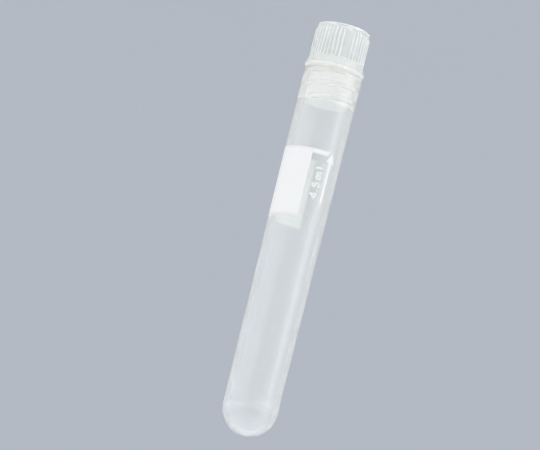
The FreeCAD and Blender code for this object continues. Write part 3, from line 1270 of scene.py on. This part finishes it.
@dataclass(kw_only=True)
class TubePrint(SubAssembly):
    """White print on the barrel: writing panel, fill line, arrow and rated volume, each a film of ink.

    A shape is laid out flat as a grid of height and arc, the distance round the barrel from the front, and
    is then wrapped on the barrel as a closed film.

    Attributes:
        panel_heights: Lower and upper edge of the writing panel.
        panel_angles: Its left and its right edge, going more than half way round the back.
        line_ends: Angles at which the fill line's lower and upper edge end.
        head: Length and width of the arrow's head.
        head_tip: Half the width of its blunt tip.
        mark_start: Height at which the rated volume starts, read towards the cap.
        mark_angle: Angle of its baseline.
        letter_stretch: How much wider the figures are than their plain drawing.
        film_step: How much higher each further patch of a film lies.
        keyed_in: How far the film's underside lies inside the barrel.
        overlap: How far the fill line reaches into the panel, and the shaft into the arrow's head.
    """

    tube: VialTube
    panel_heights: tuple[float, float] = (47.7, 63.5)
    panel_angles: tuple[float, float] = (-191.0, -2.4)
    line_width: float = 1.08
    line_ends: tuple[float, float] = (27.5, 33.0)
    arrow_angle: float = 39.0
    arrow_foot: float = 51.85
    shaft_width: float = 0.7
    head: tuple[float, float] = (2.3, 2.3)
    head_tip: float = 0.03
    mark_start: float = 52.7
    mark_angle: float = 26.0
    letter_height: float = 1.58
    letter_stretch: float = 1.08
    stroke: float = 0.42
    film: float = 0.02
    film_step: float = 0.001
    keyed_in: float = 0.005
    overlap: tuple[float, float] = (0.3, 0.2)
    edge_rows: int = 12
    line_rows: int = 3
    panel_columns: int = 97
    line_columns: int = 21
    shaft_columns: int = 5
    head_columns: int = 9

    @property
    def middle_radius(self) -> float:
        """Radius of the barrel at the middle of the print."""
        return float(self.tube.barrel_radius(np.array(sum(self.panel_heights) / 2)))

    def arc(self, angle: float) -> float:
        """The distance round the barrel from the front to an angle, at the middle of the print."""
        return math.radians(angle) * self.middle_radius

    def film_object(self, name: str, patches: list[Patch]) -> None:
        """Wrap flat patches on the barrel as closed films and join them in one object.

        A film's top lies a film's thickness over the barrel and its underside is keyed into it by a hair, and
        walls close the edge between them. Each further patch lies a little higher than the one before, so
        that strokes may cross.

        Args:
            name: Name of the object.
            patches: Grids of height and of arc.
        """
        points, quads, under_marks, base = [], [], [], 0
        for order, (height, arc) in enumerate(patches):
            radius = self.tube.barrel_radius(height)
            angle = np.degrees(arc / self.middle_radius)
            top = self.vial.points(radius + (self.film + self.film_step * order), height, angle)
            under = self.vial.points(radius - self.keyed_in, height, angle)
            count = height.size
            upper = base + np.arange(count).reshape(height.shape)
            lower = upper + count
            edge = np.concatenate([upper[0], upper[1:, -1], upper[-1, -2::-1], upper[-2:0:-1, 0]])
            following = np.roll(edge, -1)
            wall = np.stack([following, edge, edge + count, following + count], axis=-1)
            quads += [grid_quads(upper), grid_quads(lower.T), wall]
            points += [top.reshape(-1, 3), under.reshape(-1, 3)]
            under_marks += [np.zeros(count), np.ones(count)]
            base += 2 * count
        film = mesh_object(name, np.concatenate(points), [np.concatenate(quads)])
        set_marks(film, {Mark.UNDER: np.concatenate(under_marks)})
        self.keep(film, "tube", "natural_polypropylene")

    @staticmethod
    def block(low: float, high: float, left: Array, right: Array, columns: int) -> Patch:
        """A patch between two heights whose left and right edges may slope.

        Args:
            low: Lower height.
            high: Upper height.
            left: Arc of the left edge at each row.
            right: Arc of the right edge at each row.
            columns: Number of columns.

        Returns:
            The patch, with as many rows as the edges have.
        """
        height = np.repeat(np.linspace(low, high, len(left))[:, None], columns, axis=1)
        share = np.linspace(0, 1, columns)
        return height, left[:, None] + (right - left)[:, None] * share

    @staticmethod
    def stroke_patch(path: Array, width: float) -> Patch:
        """A patch of even width along a path, whose sides lie half the width from it along its normals.

        Args:
            path: Points along the middle, as arc and height.
            width: Width of the stroke.

        Returns:
            The patch, with a column along the path and one along each side.
        """
        ahead = np.gradient(path, axis=0)
        ahead /= np.linalg.norm(ahead, axis=1)[:, None]
        normal = np.stack([ahead[:, 1], -ahead[:, 0]], axis=-1)
        sides = np.stack([path - normal * width / 2, path, path + normal * width / 2], axis=1)
        return sides[..., 1], sides[..., 0]

    def writing_panel(self) -> None:
        """The panel to write on and the fill line that goes on from its upper right corner."""
        low, high = self.panel_heights
        left, right = (self.arc(angle) for angle in self.panel_angles)
        edges = np.full(self.edge_rows, left), np.full(self.edge_rows, right)
        panel = self.block(low, high, *edges, self.panel_columns)
        ends = np.linspace(*(self.arc(angle) for angle in self.line_ends), self.line_rows)
        start = np.full(self.line_rows, right - self.overlap[0])
        line = self.block(high - self.line_width, high, start, ends, self.line_columns)
        self.film_object("writing_panel_and_fill_line", [panel, line])

    def arrow(self) -> None:
        """The arrow that points up to the fill line."""
        middle = self.arc(self.arrow_angle)
        length, width = self.head
        tip = self.panel_heights[1]
        neck = tip - length
        half = np.full(self.edge_rows, self.shaft_width / 2)
        shaft_tip = neck + self.overlap[1]
        shaft = self.block(self.arrow_foot, shaft_tip, middle - half, middle + half, self.shaft_columns)
        half = np.linspace(width / 2, self.head_tip, self.edge_rows)
        head = self.block(neck, tip, middle - half, middle + half, self.head_columns)
        self.film_object("fill_line_arrow", [shaft, head])

    def rated_volume(self) -> None:
        """The rated volume, 4.5 ml, in plain round-cornered strokes, read towards the cap.

        Strokes are drawn in a box one figure high, with x along the line and y up. x then becomes height
        on the vial, and y goes back round the barrel from the baseline.
        """
        hump = np.concatenate([bowl((0.2, 0.44), 0.2, 180, 0), polyline([(0.4, 0.42), (0.4, 0.0)])])
        strokes = [
            (0.0, polyline([(0.58, 0.0), (0.58, 1.0), (0.02, 0.3), (0.8, 0.3)])),
            (1.02, polyline([(0.0, 0.08), (0.16, 0.08)])),
            (1.4, polyline([(0.68, 0.96), (0.16, 0.96), (0.1, 0.52)])),
            (1.4, bowl((0.34, 0.32), 0.32, 130, -150)),
            (2.6, polyline([(0.0, 0.0), (0.0, 0.68)])),
            (2.6, hump),
            (3.0, hump),
            (3.98, polyline([(0.0, 0.0), (0.0, 1.0)])),
            (4.42, polyline([(0.0, 0.08), (0.16, 0.08)])),
        ]
        base = self.arc(self.mark_angle)
        width = self.letter_height * self.letter_stretch
        patches = []
        for offset, path in strokes:
            height = self.mark_start + (path[:, 0] + offset) * width
            arc = base - path[:, 1] * self.letter_height
            patches.append(self.stroke_patch(np.stack([arc, height], axis=-1), self.stroke))
        self.film_object("rated_volume_mark", patches)

    def build(self) -> None:
        """Print everything."""
        self.writing_panel()
        self.arrow()
        self.rated_volume()


PATH_STEP = 0.1
BOWL_POINTS = 14


def polyline(corners: list[tuple[float, float]]) -> Array:
    """Points along straight runs, at most PATH_STEP apart, for a path in a figure's box.

    Args:
        corners: Where the runs start, meet and end, as x and y.

    Returns:
        The points, one per row.
    """
    corners = np.array(corners)
    parts = [corners[:1]]
    for start, end in zip(corners, corners[1:]):
        count = max(2, math.ceil(np.linalg.norm(end - start) / PATH_STEP))
        parts.append(start + (end - start) * (np.arange(1, count + 1) / count)[:, None])
    return np.concatenate(parts)


def bowl(centre: tuple[float, float], radius: float, start: float, end: float) -> Array:
    """Points along an arc of a circle, from one direction to another in degrees."""
    turn = np.radians(np.linspace(start, end, BOWL_POINTS))
    return np.array(centre) + radius * np.stack([np.cos(turn), np.sin(turn)], axis=-1)


# ---------------------------------------------------------------- the studio


@dataclass(frozen=True)
class Panel:
    """An upright panel of the light tent round the vial, seen from there as a band of directions.

    Attributes:
        angle: Direction of its middle, in degrees from the front, as angles on the vial are.
        half_width: How far it reaches to each side, in degrees.
        fade: How far its light fades out beyond that, in degrees.
        brightness: What it adds to the tent's own brightness, or takes away where it is negative.
    """

    angle: float
    half_width: float
    fade: float
    brightness: float


@dataclass
class Studio:
    """A pale table in a tent of soft light, and the camera.

    The tent is the world's own light. The table is what the camera sees behind the vial, and the tent's
    backdrop has the table's brightness, so that the plastic shows behind it what the camera sees beside it.

    Attributes:
        camera_rise: How far the camera looks down on the vial, in degrees.
        camera_lean: How far the vial leans to the right as the camera sees it, in degrees.
        view_offset: How far right of and above the vial's middle the view's middle lies, in metres.
        backdrop_colour: sRGB colour of its light behind the vial, which is bluer, as the table is.
        tent_floor: Brightness of the tent far below the table's level.
        end_rises: How steeply a direction rises or falls where the roof's or the floor's light starts and
            where it is full, as the sine of its angle.
        panel_ends: Share of the panels' light that is left at their upper and lower ends.
        panel_rises: How far from the camera's own line, as a sine, that share starts and is reached.
        panels: Its panels.
        backdrop: Where the light has the backdrop's colour.
    """

    middle: Vector
    camera_distance: float = 0.9
    camera_rise: float = 11.0
    camera_lean: float = 14.02
    focal_length: float = 278.0
    sensor_width: float = 36.0
    view_offset: tuple[float, float] = (-0.00526, 0.00129)
    table_size: float = 4.0
    table_points: int = 9
    tent_colour: str = "#FAFAFA"
    backdrop_colour: str = "#F0F6FF"
    tent_walls: float = 0.52
    tent_floor: float = 1.1
    tent_roof: float = 1.04
    end_rises: tuple[float, float] = (0.3, 0.7)
    panel_ends: float = 0.3
    panel_rises: tuple[float, float] = (0.2, 0.55)
    panels: tuple[Panel, ...] = (
        Panel(180.0, 5.0, 12.0, -0.12),
        Panel(0.0, 22.0, 18.0, 0.17),
        Panel(-62.0, 30.0, 14.0, 0.78),
        Panel(50.0, 4.0, 12.0, 0.7),
        Panel(70.0, 3.0, 13.0, 2.0),
        Panel(130.0, 20.0, 20.0, -0.02),
        Panel(-130.0, 15.0, 20.0, 0.03),
    )
    backdrop: Panel = Panel(180.0, 20.0, 25.0, 1.0)

    def table(self) -> None:
        """The table that the vial stands on: opal acrylic, lit from below, so that it is even and pale.

        Only the camera sees it. Light goes on to the vial from the tent's floor as if it weren't there.
        """
        along = np.linspace(-self.table_size / 2, self.table_size / 2, self.table_points)
        x, y = np.meshgrid(along, along)
        number = np.arange(x.size).reshape(x.shape)
        table = mesh_object("table", np.stack([x, y, 0 * x], axis=-1).reshape(-1, 3), [grid_quads(number)])
        for light in ("transmission", "glossy", "diffuse", "volume_scatter", "shadow"):
            setattr(table, f"visible_{light}", False)
        table.data.materials.append(OpalAcrylic().material())
        table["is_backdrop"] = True

    @staticmethod
    def sum_of(tree: Tree, lights: list[Socket]) -> Socket:
        """The sum of some lights."""
        return reduce(lambda a, b: add_node(tree, "ShaderNodeMath", {0: a, 1: b}, operation="ADD"), lights)

    def panel_share(self, tree: Tree, rise: Socket) -> Socket:
        """How much of the panels' light there is at each rise.

        They are full where they show in the upright tube, at the rise that the camera looks down by, and
        fall to panel_ends further up and down.

        Args:
            tree: The world's tree.
            rise: How steeply a direction rises, as a sine.

        Returns:
            The share.
        """
        own = math.sin(math.radians(self.camera_rise))
        away = add_node(tree, "ShaderNodeMath", {0: rise, 1: own}, operation="ADD")
        away = add_node(tree, "ShaderNodeMath", {0: away}, operation="ABSOLUTE")
        near, far = self.panel_rises
        inputs = {"Value": away, "From Min": near, "From Max": far, "To Min": 1.0, "To Max": self.panel_ends}
        return add_node(tree, "ShaderNodeMapRange", inputs, interpolation_type="SMOOTHSTEP")

    @staticmethod
    def panel_light(tree: Tree, level: Socket, panel: Panel) -> Socket:
        """The light that a panel adds.

        With d the direction from the vial, level with the table, and p the panel's own, the light is full
        where d . p is over cos(half_width) and gone where it is under cos(half_width + fade).

        Args:
            tree: The world's tree.
            level: The direction, level with the table.
            panel: The panel.

        Returns:
            The light.
        """
        turn = math.radians(panel.angle)
        own = (-math.sin(turn), -math.cos(turn), 0.0)
        facing = add_node(tree, "ShaderNodeVectorMath", {0: level, 1: own}, "Value", operation="DOT_PRODUCT")
        inputs = {
            "Value": facing,
            "From Min": math.cos(math.radians(panel.half_width + panel.fade)),
            "From Max": math.cos(math.radians(panel.half_width)),
            "To Max": panel.brightness,
        }
        return add_node(tree, "ShaderNodeMapRange", inputs, interpolation_type="SMOOTHSTEP")

    def tent(self) -> None:
        """The light tent: its even walls, panels, brighter floor and roof, and the table's colour behind."""
        world = bpy.data.worlds.new("light_tent")
        world.use_nodes = True
        tree = world.node_tree
        tree.nodes.clear()
        way = add_node(tree, "ShaderNodeTexCoord", gives="Generated")
        flat = add_node(tree, "ShaderNodeVectorMath", {0: way, 1: (1.0, 1.0, 0.0)}, operation="MULTIPLY")
        level = add_node(tree, "ShaderNodeVectorMath", {0: flat}, operation="NORMALIZE")
        rise = add_node(tree, "ShaderNodeSeparateXYZ", {0: way}, "Z")
        panels = self.sum_of(tree, [self.panel_light(tree, level, panel) for panel in self.panels])
        panels = {0: panels, 1: self.panel_share(tree, rise)}
        lights = [add_node(tree, "ShaderNodeMath", panels, operation="MULTIPLY")]
        for end, brightness in ((-1, self.tent_floor), (1, self.tent_roof)):
            start, full = (end * sine for sine in self.end_rises)
            extra = brightness - self.tent_walls
            inputs = {"Value": rise, "From Min": start, "From Max": full, "To Max": extra}
            lights.append(add_node(tree, "ShaderNodeMapRange", inputs, interpolation_type="SMOOTHSTEP"))
        total = {0: self.sum_of(tree, lights), 1: self.tent_walls}
        colours = {
            0: self.panel_light(tree, level, self.backdrop),
            6: srgb(self.tent_colour),
            7: srgb(self.backdrop_colour),
        }
        light = {
            "Color": add_node(tree, "ShaderNodeMix", colours, 2, data_type="RGBA"),
            "Strength": add_node(tree, "ShaderNodeMath", total, operation="ADD"),
        }
        background = add_node(tree, "ShaderNodeBackground", light)
        add_node(tree, "ShaderNodeOutputWorld", {"Surface": background})
        bpy.context.scene.world = world

    def camera(self) -> None:
        """The camera, which looks down on the standing vial and is rolled until its cap is up in the view.

        With c the cap's direction as the camera sees it and s = forward x c, the view's up is
        cos(lean) * c - sin(lean) * s, so that the cap leans to the right. The aim is worked out twice,
        because turning the camera to the first aim turns the view's own right and up a little.
        """
        rise, lean = math.radians(self.camera_rise), math.radians(self.camera_lean)
        place = self.middle + Vector((0, -math.cos(rise), math.sin(rise))) * self.camera_distance
        aim = self.middle
        for _ in range(2):
            forward = (aim - place).normalized()
            cap = (Vector((0, 0, -1)) + forward * forward.z).normalized()
            up = cap * math.cos(lean) - forward.cross(cap) * math.sin(lean)
            right = forward.cross(up)
            aim = self.middle + right * self.view_offset[0] + up * self.view_offset[1]
        camera = bpy.data.cameras.new("camera")
        camera.lens = self.focal_length
        camera.sensor_width = self.sensor_width
        camera.clip_start, camera.clip_end = 0.05, 20.0
        obj = bpy.data.objects.new("camera", camera)
        bpy.context.scene.collection.objects.link(obj)
        turn = Matrix((right, up, -forward)).transposed().to_4x4()
        obj.matrix_world = Matrix.Translation(place) @ turn
        bpy.context.scene.camera = obj

    def light_paths(self) -> None:
        """Let light go as often as it does in milky plastic: many times through walls and round in them.

        The filter that blurs later reflections is off, because it takes light away inside the walls.
        """
        bpy.context.scene.view_settings.view_transform = "Standard"
        cycles = bpy.context.scene.cycles
        cycles.max_bounces = 256
        cycles.transmission_bounces = 128
        cycles.volume_bounces = 192
        cycles.diffuse_bounces = 128
        cycles.glossy_bounces = 128
        cycles.blur_glossy = 0.0

    def build(self) -> None:
        """Set up the table, the light tent and the camera."""
        self.table()
        self.tent()
        self.camera()
        self.light_paths()


# ---------------------------------------------------------------- all together


def main() -> None:
    """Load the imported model, build and dress the vial around it, and set up the studio."""
    logging.basicConfig(level=logging.INFO, format="%(message)s")
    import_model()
    cad_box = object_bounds()
    vial = Vial.from_frame()
    log.info("vial %s", vial)
    low, high = (Vector(corner) for corner in cad_box)
    Studio(middle=(low + high) / 2).build()

    thread = Thread()
    tube_plastic = NaturalPolypropylene(
        name="natural_polypropylene_moulding",
        flow=Flow.ALONG_THE_TUBE,
        cloud=0.34,
        clear="#FEFEFE",
        milky="#FFFFFF",
        thin="#FAFDFE",
        roughness=0.09,
    )
    cap_plastic = NaturalPolypropylene(
        name="cap_polypropylene_moulding",
        flow=Flow.SHORT_RUN,
        cloud=1.2,
        lets_through=0.72,
        clear="#FDFFFE",
        milky="#FEFFFE",
        # Painted shade, multiplied into the cap's colour between the ribs, on the panels and on the lower grip.
        thin="#E0E5E9",
        ripple=0.1,
    )
    tube = VialTube(vial=vial, finish=tube_plastic, thread=thread)
    ring = SealingRing(vial=vial, finish=MouldedSilicone(), plug_radius=thread.root_radius)
    cap = ScrewCap(vial=vial, finish=cap_plastic, thread=thread)
    printing = TubePrint(vial=vial, finish=ScreenPrintInk(), tube=tube)
    for group in (tube, ring, cap, printing):
        group.build()
        group.dress()
        for piece in group.pieces:
            log.info("%s: %d faces, %s", piece.name, len(piece.data.polygons), group.finish.name)


if __name__ == "__main__":
    main()
